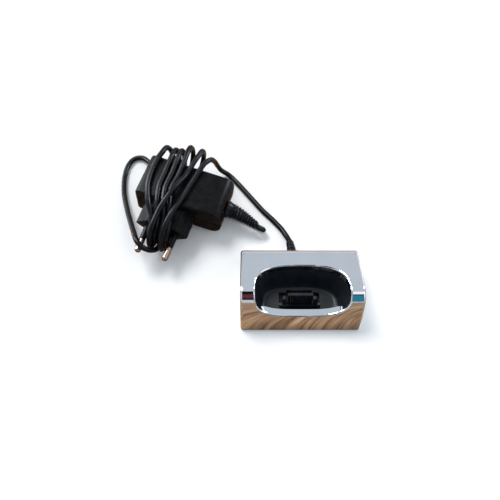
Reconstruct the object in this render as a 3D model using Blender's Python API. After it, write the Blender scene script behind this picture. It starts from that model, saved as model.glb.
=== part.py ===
"""Desk charging cradle with a chromed shell, on a lead from a two-pin wall power supply.

The lead is stored wound round the power supply and between its pins. The origin is the middle of the
cradle's footprint, on the desk: +X to the right, +Y to the back, +Z up. Sizes are in millimetres, and
MM turns them into Blender's metres. Pieces that meet keep a gap of GAP.
"""

import math

import bmesh
import bpy
from mathutils import Euler, Matrix, Vector

MM = 0.001
GAP = 0.3

# Cradle
WIDTH = 71.4
FRONT_Y = -25.0
BACK_Y = 25.0
SHELL_FOOT_Z = 0.7
SHELL_WALL = 1.6
LIP_DEPTH = 3.4
LIP_WALL = 1.1
FRONT_TOP = (-17.6, 24.6)
FRONT_TOP_ANGLE = math.radians(150.0)
FOLD_RADIUS = 7.86
TOP_SLOPE = math.radians(11.6)
TOP_END_Y = 15.6
BACK_RADIUS = 4.2

# Phone well: a rounded opening seen along the phone's axis, which leans back
LEAN = math.radians(12.0)
WELL_HALF_X = 27.1
WELL_WIDEST_C = -17.6
WELL_FRONT_C = 8.0
WELL_BACK_C = 18.4
WELL_BACK_POWER = 2.9
WELL_FRONT_POWER = 2.6
BOWL_FLOOR_Z = 7.0
BOWL_WALL = 1.2
POCKET_HALF_X = 12.4
POCKET_FRONT_Y = -14.2
POCKET_BACK_Y = -3.2
POCKET_DEEP_HALF_X = 8.0
POCKET_DEEP_BACK_Y = -1.6

# Base plate, feet and screws
PLATE_Z = (0.8, 2.0)
FOOT_PLACES = ((-22.5, -14.5), (22.5, -14.5), (-22.0, 15.5), (22.0, 15.5))
FOOT_RADIUS = 4.0
FOOT_TOP_Z = 1.5
POST_PLACES = ((-31.2, -17.6), (31.2, -17.6), (-31.2, 13.0), (31.2, 13.0))
POST_RADIUS = 2.0
PILOT_RADIUS = 1.2
SCREW_SHANK_RADIUS = 0.9
SCREW_HEAD_RADIUS = 1.7

# Tilting connector, in a frame that leans back with the phone's axis about the axle
AXLE_Y = -10.2
AXLE_Z = 4.9
AXLE_RADIUS = 0.7
AXLE_HALF_LENGTH = 13.9
CARRIER_HALF_X = 11.2
CARRIER_HALF_DEPTH = 2.6
CARRIER_BOTTOM = -1.7
CARRIER_TOP = 1.9
PLUG_HALF_X = 7.4
PLUG_FRONT = -1.7
PLUG_BACK = 0.3
PLUG_BOTTOM = 2.2
PLUG_TOP = 11.2
RIB_COUNT = 14
RIB_DEPTH = 0.5
CONTACT_PLACES = (-5.9, -4.5)
CONTACT_HALF_WIDTH = 0.3
LATCH_X = 9.3

# Lead
LEAD_RADIUS = 1.75
EXIT_X = -3.0
EXIT_Z = 7.0

# Power supply: its own frame has +X along the casing towards the boot, -Y along the pins
SUPPLY_PLACE = (-86.6, 35.5, 17.0)
SUPPLY_TURN = (math.radians(4.0), math.radians(8.0), math.radians(-16.0))
CASE_X = (-23.5, 34.5)
CASE_Y = (15.5, 46.0)
CASE_HALF_HEIGHT = 11.0
CASE_WALL = 2.0
CASE_END_RADIUS = 7.0
PLUG_BLOCK_HALF_WIDTH = 17.65
PLUG_BLOCK_FLAT = 10.0
PLUG_BLOCK_HALF_HEIGHT = 6.85
PLUG_BLOCK_WALL = 2.4
PIN_RADIUS = 2.0
PIN_CORE_RADIUS = 1.2
PIN_LENGTH = 19.0
SLEEVE_LENGTH = 10.0
PIN_ROOT_X = 9.3
PIN_TIP_X = 8.75


# ---------------------------------------------------------------- scene and materials


def clear_scene():
    for item in list(bpy.data.objects):
        bpy.data.objects.remove(item, do_unlink=True)


def make_material(name, colour, roughness, metallic):
    material = bpy.data.materials.new(name)
    material.use_nodes = True
    shader = material.node_tree.nodes["Principled BSDF"]
    shader.inputs["Base Color"].default_value = (*colour, 1.0)
    shader.inputs["Roughness"].default_value = roughness
    shader.inputs["Metallic"].default_value = metallic
    material.diffuse_color = (*colour, 1.0)
    return material


def make_materials():
    return {
        "chrome_plate": make_material("chrome_plate", (0.86, 0.87, 0.88), 0.06, 1.0),
        "bowl_plastic": make_material("bowl_plastic", (0.025, 0.027, 0.031), 0.35, 0.0),
        "plate_plastic": make_material("plate_plastic", (0.02, 0.02, 0.021), 0.55, 0.0),
        "foot_rubber": make_material("foot_rubber", (0.03, 0.03, 0.03), 0.85, 0.0),
        "steel": make_material("steel", (0.55, 0.55, 0.56), 0.35, 1.0),
        "gold_contact": make_material("gold_contact", (0.83, 0.6, 0.24), 0.22, 1.0),
        "board": make_material("board", (0.03, 0.18, 0.08), 0.5, 0.0),
        "white_plastic": make_material("white_plastic", (0.75, 0.73, 0.68), 0.45, 0.0),
        "supply_plastic": make_material("supply_plastic", (0.014, 0.014, 0.016), 0.4, 0.0),
        "lead_pvc": make_material("lead_pvc", (0.016, 0.017, 0.02), 0.38, 0.0),
        "pin_nickel": make_material("pin_nickel", (0.62, 0.5, 0.42), 0.28, 1.0),
        "ferrite": make_material("ferrite", (0.09, 0.08, 0.08), 0.6, 0.0),
    }


# ---------------------------------------------------------------- mesh helpers


def add_mesh(name, points, faces, material=None):
    """An object from points in millimetres, with its faces turned outwards."""
    mesh = bpy.data.meshes.new(name)
    mesh.from_pydata([Vector(p) * MM for p in points], [], faces)
    shape = bmesh.new()
    shape.from_mesh(mesh)
    bmesh.ops.recalc_face_normals(shape, faces=shape.faces)
    shape.to_mesh(mesh)
    shape.free()
    item = bpy.data.objects.new(name, mesh)
    bpy.context.scene.collection.objects.link(item)
    if material:
        mesh.materials.append(material)
    return item


def smooth(item, degrees=35.0):
    item.data.shade_smooth()
    item.data.set_sharp_from_angle(angle=math.radians(degrees))
    return item


def stack_rings(name, rings, material=None, loop=False):
    """A body through rings of equally many points. Ends are capped, or the last ring meets the first."""
    count = len(rings[0])
    points = [p for ring in rings for p in ring]
    faces = []
    for i in range(len(rings) if loop else len(rings) - 1):
        j = (i + 1) % len(rings)
        for k in range(count):
            n = (k + 1) % count
            faces.append((i * count + k, i * count + n, j * count + n, j * count + k))
    if not loop:
        faces.append(tuple(range(count)))
        faces.append(tuple(range((len(rings) - 1) * count, len(rings) * count)))
    return add_mesh(name, points, faces, material)


def box(name, low, high, material=None, bevel=0.0):
    outline = ((low[0], low[1]), (high[0], low[1]), (high[0], high[1]), (low[0], high[1]))
    rings = [[(x, y, z) for x, y in outline] for z in (low[2], high[2])]
    item = stack_rings(name, rings, material)
    if bevel:
        round_edges(item, bevel)
    return item


def round_edges(item, width, segments=2):
    modifier = item.modifiers.new("rounding", "BEVEL")
    modifier.width = width * MM
    modifier.segments = segments
    modifier.limit_method = "ANGLE"
    modifier.angle_limit = math.radians(40.0)


def prism_x(name, outline, low, high, material=None):
    """An outline of (y, z) points drawn out along X."""
    return stack_rings(name, [[(x, y, z) for y, z in outline] for x in (low, high)], material)


def prism_y(name, outline, low, high, material=None):
    """An outline of (x, z) points drawn out along Y."""
    return stack_rings(name, [[(x, y, z) for x, z in outline] for y in (low, high)], material)


def prism_z(name, outline, low, high, material=None):
    return stack_rings(name, [[(x, y, z) for x, y in outline] for z in (low, high)], material)


def turned(name, profile, sides, material=None, hollow=False):
    """A body turned about Z from (radius, z) points. A hollow one's profile closes on itself."""
    turns = [2 * math.pi * k / sides for k in range(sides)]
    rings = [[(r * math.cos(t), r * math.sin(t), z) for t in turns] for r, z in profile]
    return smooth(stack_rings(name, rings, material, loop=hollow))


def move(item, offset=(0, 0, 0), turn=None):
    """Moves the mesh itself, after turning it about the origin."""
    matrix = Matrix.Translation(Vector(offset) * MM)
    if turn is not None:
        matrix = matrix @ turn
    item.data.transform(matrix)
    return item


def cut(item, cutter, operation="DIFFERENCE"):
    modifier = item.modifiers.new(cutter.name, "BOOLEAN")
    modifier.operation = operation
    modifier.object = cutter
    cutter.hide_render = True
    cutter.display_type = "WIRE"
    return item


def join(item, other):
    return cut(item, other, "UNION")


def put_origin(item, place):
    """Sets the object's origin on its joint's axis, without moving its shape."""
    pivot = Vector(place) * MM
    item.data.transform(Matrix.Translation(-pivot))
    item.location = pivot


def arc(centre, radius, start, end, steps):
    """Points on an arc, by angles from the first axis towards the second."""
    angles = [start + (end - start) * k / steps for k in range(steps + 1)]
    return [(centre[0] + radius * math.cos(a), centre[1] + radius * math.sin(a)) for a in angles]


def rounded_box_outline(low, high, radii, steps=4):
    """A rounded rectangle. The radii are those of its low-low, high-low, high-high and low-high corners."""
    places = ((0, 0, math.pi), (1, 0, 1.5 * math.pi), (1, 1, 0.0), (0, 1, 0.5 * math.pi))
    outline = []
    for (right, top, start), radius in zip(places, radii):
        x = high[0] - radius if right else low[0] + radius
        y = high[1] - radius if top else low[1] + radius
        outline += arc((x, y), radius, start, start + 0.5 * math.pi, steps)
    return outline


def curve_point(a, b, c, d, t):
    """A point from b at t = 0 to c at t = 1, on the smooth curve through all four points."""
    bend = 2 * a - 5 * b + 4 * c - d
    twist = 3 * b - a - 3 * c + d
    return 0.5 * (2 * b + (c - a) * t + bend * t**2 + twist * t**3)


def smooth_route(route, step):
    """Points about a step apart on one smooth curve through the route's points."""
    ends = [2 * route[0] - route[1]] + route + [2 * route[-1] - route[-2]]
    points = []
    for a, b, c, d in zip(ends, ends[1:], ends[2:], ends[3:]):
        count = max(1, round((c - b).length / step))
        points += [curve_point(a, b, c, d, k / count) for k in range(count)]
    return points + [route[-1]]


def lead_tube(name, route, material, radius=LEAD_RADIUS, step=4.6):
    """A stretch of the lead: a round tube on a smooth curve through the route's points."""
    points = smooth_route([Vector(p) for p in route], step)
    curve = bpy.data.curves.new(name, "CURVE")
    curve.dimensions = "3D"
    curve.bevel_depth = radius * MM
    curve.bevel_resolution = 2
    curve.use_fill_caps = True
    spline = curve.splines.new("POLY")
    spline.points.add(len(points) - 1)
    for target, point in zip(spline.points, points):
        target.co = (*(point * MM), 1.0)
    item = bpy.data.objects.new(name, curve)
    bpy.context.scene.collection.objects.link(item)
    curve.materials.append(material)
    return item


def ribbed_boot(name, route, radii, rib_count, rib_height, material, plain=4, sides=14):
    """A tapered strain relief along a bent route: a plain root, then raised ribs, then a plain tip."""
    stations = 4 * rib_count + plain + 3
    path = smooth_route([Vector(p) for p in route], 0.5)
    rings = []
    for i in range(stations):
        place = i / (stations - 1)
        index = min(len(path) - 2, int(place * (len(path) - 1)))
        centre = path[round(place * (len(path) - 1))]
        along = (path[index + 1] - path[index]).normalized()
        side = along.cross(Vector((0, 0, 1))).normalized()
        above = side.cross(along)
        radius = radii[0] + (radii[1] - radii[0]) * place
        if plain <= i < stations - 2 and (i - plain) % 4 in (0, 1):
            radius += rib_height
        turns = [2 * math.pi * k / sides for k in range(sides)]
        rings.append([centre + radius * (math.cos(t) * side + math.sin(t) * above) for t in turns])
    return smooth(stack_rings(name, rings, material))


# ---------------------------------------------------------------- the cradle's outline


def shell_profile(inset=0.0, foot=SHELL_FOOT_Z):
    """The shell's side outline as (y, z) points, drawn in by an inset from the front, top and back."""
    run = FRONT_TOP[0] - FRONT_Y
    rise = FRONT_TOP[1] - SHELL_FOOT_Z
    chord_angle = 0.5 * math.pi + math.atan2(rise, run)
    foot_angle = 2 * chord_angle - FRONT_TOP_ANGLE
    front_radius = math.hypot(run, rise) / (2 * math.sin(chord_angle - FRONT_TOP_ANGLE))
    front_centre = (
        FRONT_TOP[0] - front_radius * math.cos(FRONT_TOP_ANGLE),
        FRONT_TOP[1] - front_radius * math.sin(FRONT_TOP_ANGLE),
    )
    points = arc(front_centre, front_radius - inset, foot_angle, FRONT_TOP_ANGLE, 6)
    fold_centre = (
        FRONT_TOP[0] - FOLD_RADIUS * math.cos(FRONT_TOP_ANGLE),
        FRONT_TOP[1] - FOLD_RADIUS * math.sin(FRONT_TOP_ANGLE),
    )
    fold_end = 0.5 * math.pi - TOP_SLOPE
    points += arc(fold_centre, FOLD_RADIUS - inset, FRONT_TOP_ANGLE, fold_end, 12)[1:]
    top_y = fold_centre[0] + FOLD_RADIUS * math.cos(fold_end)
    top_z = fold_centre[1] + FOLD_RADIUS * math.sin(fold_end)
    top_end_z = top_z - (TOP_END_Y - top_y) * math.tan(TOP_SLOPE)
    # The back wall runs straight from the rounded back edge down to the foot.
    corner = (
        TOP_END_Y - BACK_RADIUS * math.sin(TOP_SLOPE),
        top_end_z - BACK_RADIUS * math.cos(TOP_SLOPE),
    )
    wall_angle = math.atan2(BACK_Y - corner[0] - BACK_RADIUS, corner[1] - SHELL_FOOT_Z)
    points += arc(corner, BACK_RADIUS - inset, fold_end, wall_angle, 6)
    points.append((BACK_Y - inset, SHELL_FOOT_Z))
    if foot < SHELL_FOOT_Z:
        points = [(points[0][0], foot)] + points + [(points[-1][0], foot)]
    return points


def well_outline(grow=0.0, steps=48):
    """The well's outline in (x, c): c runs across the lean, towards the back."""
    outline = []
    for k in range(steps):
        turn = 2 * math.pi * (k + 0.5) / steps
        cosine, sine = math.cos(turn), math.sin(turn)
        power, depth = (WELL_BACK_POWER, WELL_BACK_C) if sine > 0 else (WELL_FRONT_POWER, WELL_FRONT_C)
        x = math.copysign(abs(cosine) ** (2 / power), cosine) * (WELL_HALF_X + grow)
        c = math.copysign(abs(sine) ** (2 / power), sine) * (depth + grow)
        outline.append((x, c + WELL_WIDEST_C))
    return outline


def well_ring(outline, along):
    """A well outline as points in the cradle's frame, at a distance along the phone's axis."""
    return [
        (
            x,
            c * math.cos(LEAN) + along * math.sin(LEAN),
            along * math.cos(LEAN) - c * math.sin(LEAN),
        )
        for x, c in outline
    ]


def well_prism(name, grow, low, high):
    outline = well_outline(grow)
    return stack_rings(name, [well_ring(outline, low), well_ring(outline, high)])


# ---------------------------------------------------------------- the cradle's pieces


def make_shell(materials):
    shell = prism_x(
        "chrome_shell", shell_profile(), -WIDTH / 2, WIDTH / 2, materials["chrome_plate"]
    )
    inner = prism_x(
        "shell_hollow",
        shell_profile(SHELL_WALL, foot=-4.0),
        -WIDTH / 2 + SHELL_WALL,
        WIDTH / 2 - SHELL_WALL,
    )
    lip = well_prism("lip_ring", LIP_WALL + 1.2, 8.0, 40.0)
    cut(inner, lip)
    cut(shell, inner)
    deep = prism_x(
        "hollow_under_lip",
        shell_profile(LIP_DEPTH, foot=-4.0),
        -WIDTH / 2 + SHELL_WALL + 0.4,
        WIDTH / 2 - SHELL_WALL - 0.4,
    )
    cut(shell, deep)
    for k, (x, y) in enumerate(POST_PLACES):
        top = 18.0 if y < 0 else 23.0
        post = move(turned(f"post_{k}", [(POST_RADIUS, 2.4), (POST_RADIUS, top - 1.0)], 16), (x, y, 0))
        join(shell, post)
        pilot = move(turned(f"pilot_{k}", [(PILOT_RADIUS, 1.0), (PILOT_RADIUS, 9.5)], 12), (x, y, 0))
        cut(shell, pilot)
    cut(shell, well_prism("well_cutter", 0.0, 10.5, 42.0))
    lead_hole = turned("lead_hole", [(3.1, 16.0), (3.1, 32.0)], 18)
    cut(shell, move(lead_hole, (EXIT_X, 0, EXIT_Z), Matrix.Rotation(math.radians(-90), 4, "X")))
    return smooth(shell, 30)


def make_bowl(materials):
    under_lip = LIP_DEPTH + GAP
    bowl = well_prism("cradle_bowl", 0.9, 2.0, 40.0)
    bowl.data.materials.append(materials["bowl_plastic"])
    inside = prism_x(
        "room_under_lip", shell_profile(under_lip, foot=BOWL_FLOOR_Z - BOWL_WALL), -31.0, 31.0
    )
    floor = box("room_above_floor", (-33, -30, BOWL_FLOOR_Z - BOWL_WALL), (33, 30, 40))
    cut(inside, floor, "INTERSECT")
    cut(bowl, inside, "INTERSECT")

    # The hollow narrows to a rounded bottom.
    rings = []
    depth_steps = ((0.0, 0.0), (0.5, 0.0), (0.82, 0.9), (0.95, 2.2), (1.0, 4.2))
    for place, shrink in depth_steps:
        along = 42.0 + (BOWL_FLOOR_Z + 0.6 - 42.0) * place
        outline = well_outline(-LIP_WALL - 0.2 - shrink)
        rings.append(well_ring(outline, along))
    hollow = stack_rings("bowl_hollow", rings)
    front_wall = prism_x(
        "room_in_bowl", shell_profile(under_lip + BOWL_WALL, foot=BOWL_FLOOR_Z), -40.0, 40.0
    )
    mouth = box("mouth", (-40, -40, 15.2), (40, 40, 45))
    join(front_wall, mouth)
    cut(hollow, front_wall, "INTERSECT")
    floor_plane = box("floor_plane", (-40, -40, BOWL_FLOOR_Z), (40, 40, 50))
    cut(hollow, floor_plane, "INTERSECT")
    cut(bowl, hollow)

    pocket = prism_z(
        "pocket",
        (
            (-POCKET_HALF_X, POCKET_FRONT_Y),
            (POCKET_HALF_X, POCKET_FRONT_Y),
            (POCKET_HALF_X, POCKET_BACK_Y),
            (POCKET_DEEP_HALF_X, POCKET_BACK_Y),
            (POCKET_DEEP_HALF_X, POCKET_DEEP_BACK_Y),
            (-POCKET_DEEP_HALF_X, POCKET_DEEP_BACK_Y),
            (-POCKET_DEEP_HALF_X, POCKET_BACK_Y),
            (-POCKET_HALF_X, POCKET_BACK_Y),
        ),
        2.0,
        12.0,
    )
    cut(bowl, pocket)
    return smooth(bowl, 35)


def make_plate(materials):
    low, high = PLATE_Z
    edge = SHELL_WALL + GAP
    outline = rounded_box_outline(
        (-WIDTH / 2 + edge, FRONT_Y + edge), (WIDTH / 2 - edge, BACK_Y - edge - 0.6), (1.5,) * 4, 2
    )
    plate = prism_z("base_plate", outline, low, high, materials["plate_plastic"])
    for k, (x, y) in enumerate(FOOT_PLACES):
        seat = turned(f"foot_seat_{k}", [(FOOT_RADIUS + GAP, 0.0), (FOOT_RADIUS + GAP, 1.8)], 20)
        raise_ = turned(f"foot_boss_{k}", [(FOOT_RADIUS + 1.3, 1.2), (FOOT_RADIUS + 1.3, 2.8)], 20)
        join(plate, move(raise_, (x, y, 0)))
        cut(plate, move(seat, (x, y, 0)))
    for k, (x, y) in enumerate(POST_PLACES):
        hole = turned(f"screw_hole_{k}", [(SCREW_SHANK_RADIUS + GAP, 0.0), (SCREW_SHANK_RADIUS + GAP, 5.0)], 12)
        cut(plate, move(hole, (x, y, 0)))
    for side in (-1, 1):
        x = side * 13.3
        post = box(f"axle_post_{side}", (x - 0.8, AXLE_Y - 2.0, 1.4), (x + 0.8, AXLE_Y + 2.0, 5.4))
        join(plate, post)
        slot = box(f"axle_slot_{side}", (x - 2, AXLE_Y - 1.0, AXLE_Z - 1.0), (x + 2, AXLE_Y + 1.0, 8.0))
        cut(plate, slot)
    for k, (x, y) in enumerate(((-24.5, 7.8), (-10.5, 7.8))):
        join(plate, move(turned(f"board_post_{k}", [(2.0, 1.4), (2.0, 4.2)], 14), (x, y, 0)))
        pilot = turned(f"board_pilot_{k}", [(1.0, 2.5), (1.0, 6.0)], 10)
        cut(plate, move(pilot, (x, y, 0)))
    return smooth(plate, 35)


def make_feet_and_screws(materials):
    names = ("front_left", "front_right", "back_left", "back_right")
    foot_profile = [
        (FOOT_RADIUS - 0.5, 0.0),
        (FOOT_RADIUS, 0.4),
        (FOOT_RADIUS, FOOT_TOP_Z),
    ]
    screw_profile = [
        (SCREW_HEAD_RADIUS, 0.1),
        (SCREW_HEAD_RADIUS, 0.5),
        (SCREW_SHANK_RADIUS, 0.5),
        (SCREW_SHANK_RADIUS, 8.6),
        (0.4, 9.2),
    ]
    for name, place in zip(names, FOOT_PLACES):
        move(turned(f"foot_{name}", foot_profile, 24, materials["foot_rubber"]), (*place, 0))
    for name, place in zip(names, POST_PLACES):
        move(turned(f"base_screw_{name}", screw_profile, 14, materials["steel"]), (*place, 0))


def make_inside(materials):
    ballast = box("ballast_weight", (4.0, 4.6, 3.1), (26.0, 18.5, 11.0), materials["steel"], bevel=0.6)
    smooth(ballast)
    board = box("circuit_board", (-27.0, 5.2, 4.5), (-7.0, 17.5, 5.5), materials["board"])
    for k, (x, y) in enumerate(((-24.5, 7.8), (-10.5, 7.8))):
        hole = turned(f"board_hole_{k}", [(1.0, 3.0), (1.0, 8.0)], 10)
        cut(board, move(hole, (x, y, 0)))
    screw = [(0.7, 3.0), (0.7, 5.8), (1.5, 5.8), (1.5, 6.5), (1.0, 6.8)]
    for side, x in (("left", -24.5), ("right", -10.5)):
        move(turned(f"board_screw_{side}", screw, 12, materials["steel"]), (x, 7.8, 0))
    box("board_terminal", (-16.5, 11.5, 5.8), (-8.5, 16.5, 10.2), materials["white_plastic"], bevel=0.4)
    lead_tube(
        "inner_lead",
        ((EXIT_X, 17.3, EXIT_Z), (-3.8, 15.0, 7.3), (-6.4, 14.1, 7.8), (-8.2, 14.0, 8.0)),
        materials["lead_pvc"],
        radius=1.1,
        step=2.0,
    )


def lean_to_cradle(item):
    """Puts a piece drawn in the connector's leaning frame in its place on the axle."""
    return move(item, (0, AXLE_Y, AXLE_Z), Matrix.Rotation(-LEAN, 4, "X"))


def leaning_point(x, y, z):
    return (
        x,
        AXLE_Y + y * math.cos(LEAN) + z * math.sin(LEAN),
        AXLE_Z - y * math.sin(LEAN) + z * math.cos(LEAN),
    )


def make_connector(materials):
    axle = turned(
        "tilt_axle", [(AXLE_RADIUS, -AXLE_HALF_LENGTH), (AXLE_RADIUS, AXLE_HALF_LENGTH)], 14, materials["steel"]
    )
    move(axle, (0, AXLE_Y, AXLE_Z), Matrix.Rotation(math.radians(90), 4, "Y"))

    outline = (
        (-CARRIER_HALF_DEPTH + 1.0, CARRIER_BOTTOM),
        (CARRIER_HALF_DEPTH - 1.0, CARRIER_BOTTOM),
        (CARRIER_HALF_DEPTH, CARRIER_BOTTOM + 1.0),
        (CARRIER_HALF_DEPTH, CARRIER_TOP),
        (-CARRIER_HALF_DEPTH, CARRIER_TOP),
        (-CARRIER_HALF_DEPTH, CARRIER_BOTTOM + 1.0),
    )
    carrier = prism_x(
        "connector_carrier", outline, -CARRIER_HALF_X, CARRIER_HALF_X, materials["bowl_plastic"]
    )
    bore = turned(
        "carrier_bore", [(AXLE_RADIUS + GAP, -15.0), (AXLE_RADIUS + GAP, 15.0)], 16
    )
    cut(carrier, move(bore, turn=Matrix.Rotation(math.radians(90), 4, "Y")))
    lean_to_cradle(bore)
    put_origin(lean_to_cradle(carrier), (0, AXLE_Y, AXLE_Z))

    # The plug's front carries a row of ribs between its contacts.
    pitch = 2 * PLUG_HALF_X / (RIB_COUNT + 0.5)
    front = []
    for k in range(RIB_COUNT):
        left = -PLUG_HALF_X + pitch * (k + 0.5)
        front += [(left, PLUG_FRONT), (left, PLUG_FRONT + RIB_DEPTH)]
        front += [(left + 0.45 * pitch, PLUG_FRONT + RIB_DEPTH), (left + 0.45 * pitch, PLUG_FRONT)]
    outline = [(-PLUG_HALF_X, PLUG_FRONT)] + front
    outline += [(PLUG_HALF_X, PLUG_FRONT), (PLUG_HALF_X, PLUG_BACK), (-PLUG_HALF_X, PLUG_BACK)]
    plug = prism_z("connector_plug", outline, PLUG_BOTTOM, PLUG_TOP, materials["bowl_plastic"])
    for k, x in enumerate(CONTACT_PLACES):
        half = CONTACT_HALF_WIDTH + GAP
        slot = box(
            f"contact_slot_{k}",
            (x - half, PLUG_FRONT - 1.0, PLUG_BOTTOM + 2.9),
            (x + half, PLUG_BACK - 0.5, PLUG_TOP - 1.2),
        )
        cut(plug, slot)
        lean_to_cradle(slot)
    put_origin(lean_to_cradle(plug), (0, AXLE_Y, AXLE_Z))

    for side, x in zip(("left", "right"), CONTACT_PLACES):
        blade = box(
            f"contact_{side}",
            (x - CONTACT_HALF_WIDTH, PLUG_FRONT - 0.35, PLUG_BOTTOM + 3.3),
            (x + CONTACT_HALF_WIDTH, PLUG_FRONT + 0.6, PLUG_TOP - 1.6),
            materials["gold_contact"],
        )
        middle = leaning_point(x, PLUG_FRONT, 0.5 * (PLUG_BOTTOM + PLUG_TOP))
        put_origin(lean_to_cradle(blade), middle)

    for side, sign in (("left", -1), ("right", 1)):
        # A cheek that stands on the carrier and hooks outwards over it.
        hook = [
            (LATCH_X - 1.1, PLUG_BOTTOM),
            (LATCH_X + 0.3, PLUG_BOTTOM),
            (LATCH_X + 0.3, PLUG_BOTTOM + 2.2),
            (LATCH_X + 1.9, PLUG_BOTTOM + 2.4),
        ]
        hook += arc((LATCH_X + 0.2, PLUG_BOTTOM + 3.4), 1.6, 0.1, 0.5 * math.pi, 4)
        hook += [(LATCH_X - 1.1, PLUG_BOTTOM + 4.6)]
        latch = prism_y(f"latch_{side}", [(sign * x, z) for x, z in hook], -1.5, 1.1, materials["bowl_plastic"])
        put_origin(lean_to_cradle(latch), leaning_point(sign * LATCH_X, 0, PLUG_BOTTOM))

    leaf = [
        (-5.2, 2.3),
        (-2.2, 2.3),
        (-2.2, 2.7),
        (-5.0, 2.7),
        (-6.2, 4.9),
        (-6.6, 4.7),
    ]
    prism_x("centring_spring", leaf, -4.0, 4.0, materials["steel"])


def make_base_boot(materials):
    wall_y = 22.6
    flange = box(
        "base_boot_flange", (EXIT_X - 3.6, wall_y - 4.6, EXIT_Z - 3.6), (EXIT_X + 3.6, wall_y - 3.3, EXIT_Z + 3.4)
    )
    boot = ribbed_boot(
        "base_boot",
        ((EXIT_X, wall_y - 4.0, EXIT_Z), (EXIT_X, wall_y + 2.0, EXIT_Z), (-3.3, 29.0, 6.3), (-3.9, 34.7, 4.9)),
        (2.55, 2.05),
        4,
        0.45,
        materials["lead_pvc"],
        plain=9,
    )
    join(boot, flange)
    return smooth(boot, 35)


# ---------------------------------------------------------------- the power supply


def supply_matrix():
    return Matrix.Translation(Vector(SUPPLY_PLACE) * MM) @ Euler(SUPPLY_TURN, "XYZ").to_matrix().to_4x4()


def mount_on_supply(item, stand):
    item.parent = stand
    return item


def case_outline(inset):
    radii = (2.0, CASE_END_RADIUS, CASE_END_RADIUS, 2.0)
    return rounded_box_outline(
        (CASE_X[0] + inset, -CASE_HALF_HEIGHT + inset),
        (CASE_X[1] - inset, CASE_HALF_HEIGHT - inset),
        [max(radius - inset, 0.5) for radius in radii],
    )


def make_supply(materials, stand):
    plastic = materials["supply_plastic"]
    parting = 0.5 * GAP
    for half, sign in (("upper", 1), ("lower", -1)):
        case = prism_y(f"supply_{half}_case", case_outline(0.0), *CASE_Y, plastic)
        round_edges(case, 1.2)
        hollow = prism_y(
            f"{half}_case_hollow", case_outline(CASE_WALL), CASE_Y[0] + CASE_WALL, CASE_Y[1] - CASE_WALL
        )
        near, far = sorted((sign * parting, sign * 30.0))
        side = box(f"{half}_case_side", (-60, 0, near), (70, 60, far))
        cut(case, side, "INTERSECT")
        cut(case, hollow)
        root = turned(f"{half}_boot_hole", [(3.6, 28.0), (3.6, 40.0)], 18)
        move(root, (0, 28.6, 1.8), Matrix.Rotation(math.radians(90), 4, "Y"))
        cut(case, root)
        window = box(f"{half}_plug_window", (-7.0, 12.0, -4.0), (7.0, 20.0, 4.0))
        cut(case, window)
        for helper in (hollow, side, root, window, case):
            mount_on_supply(helper, stand)
        smooth(case, 35)

    flat, wide, high = PLUG_BLOCK_FLAT, PLUG_BLOCK_HALF_WIDTH, PLUG_BLOCK_HALF_HEIGHT
    wall = PLUG_BLOCK_WALL

    def hexagon(inset):
        return [
            (-flat, -high + inset),
            (flat, -high + inset),
            (wide - inset, 0.0),
            (flat, high - inset),
            (-flat, high - inset),
            (-wide + inset, 0.0),
        ]

    block = prism_y("plug_block", hexagon(0.0), 0.0, CASE_Y[0] - GAP, plastic)
    round_edges(block, 0.5, 1)
    room = prism_y("plug_block_room", hexagon(wall), wall, 20.0)
    cut(block, room)
    mount_on_supply(room, stand)
    mount_on_supply(smooth(block), stand)

    pin_lean = math.atan((PIN_ROOT_X - PIN_TIP_X) / PIN_LENGTH)
    for side, sign in (("left", -1), ("right", 1)):
        turn = Matrix.Rotation(sign * -pin_lean, 4, "Z") @ Matrix.Rotation(math.radians(90), 4, "X")
        place = (sign * PIN_ROOT_X, 0, 0)
        hole = turned(f"pin_hole_{side}", [(PIN_RADIUS + GAP, -4.0), (PIN_RADIUS + GAP, 4.0)], 14)
        cut(block, move(hole, place, turn))
        sleeve = [
            (PIN_RADIUS, -2.2),
            (PIN_RADIUS, SLEEVE_LENGTH - GAP),
            (PIN_CORE_RADIUS + GAP, SLEEVE_LENGTH - GAP),
            (PIN_CORE_RADIUS + GAP, -2.2),
        ]
        sleeve_item = turned(f"pin_sleeve_{side}", sleeve, 14, plastic, hollow=True)
        metal = [
            (PIN_CORE_RADIUS, -6.0),
            (PIN_CORE_RADIUS, SLEEVE_LENGTH),
            (PIN_RADIUS, SLEEVE_LENGTH),
            (PIN_RADIUS, PIN_LENGTH - 1.2),
            (0.75 * PIN_RADIUS, PIN_LENGTH - 0.35),
            (0.35 * PIN_RADIUS, PIN_LENGTH),
        ]
        metal_item = turned(f"pin_{side}", metal, 14, materials["pin_nickel"])
        for item in (sleeve_item, metal_item):
            mount_on_supply(move(item, place, turn), stand)
        mount_on_supply(hole, stand)

    board = box("supply_board", (-19.0, 19.0, -6.6), (29.0, 42.0, -5.4), materials["board"])
    transformer = box("transformer", (2.0, 22.0, -5.0), (18.0, 38.0, 7.5), materials["ferrite"], bevel=0.8)
    capacitor = turned("mains_capacitor", [(3.8, -5.0), (3.8, 7.0), (3.4, 7.5)], 18, materials["ferrite"])
    move(capacitor, (-11.0, 32.0, 0))
    boot = ribbed_boot(
        "supply_boot",
        ((31.0, 28.6, 1.8), (37.0, 28.4, 1.7), (46.0, 27.4, 0.9), (57.0, 25.0, -1.7)),
        (3.2, 2.1),
        8,
        0.7,
        materials["lead_pvc"],
        plain=10,
    )
    for item in (board, smooth(transformer), capacitor, boot):
        mount_on_supply(item, stand)


# ---------------------------------------------------------------- the wound lead


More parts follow.
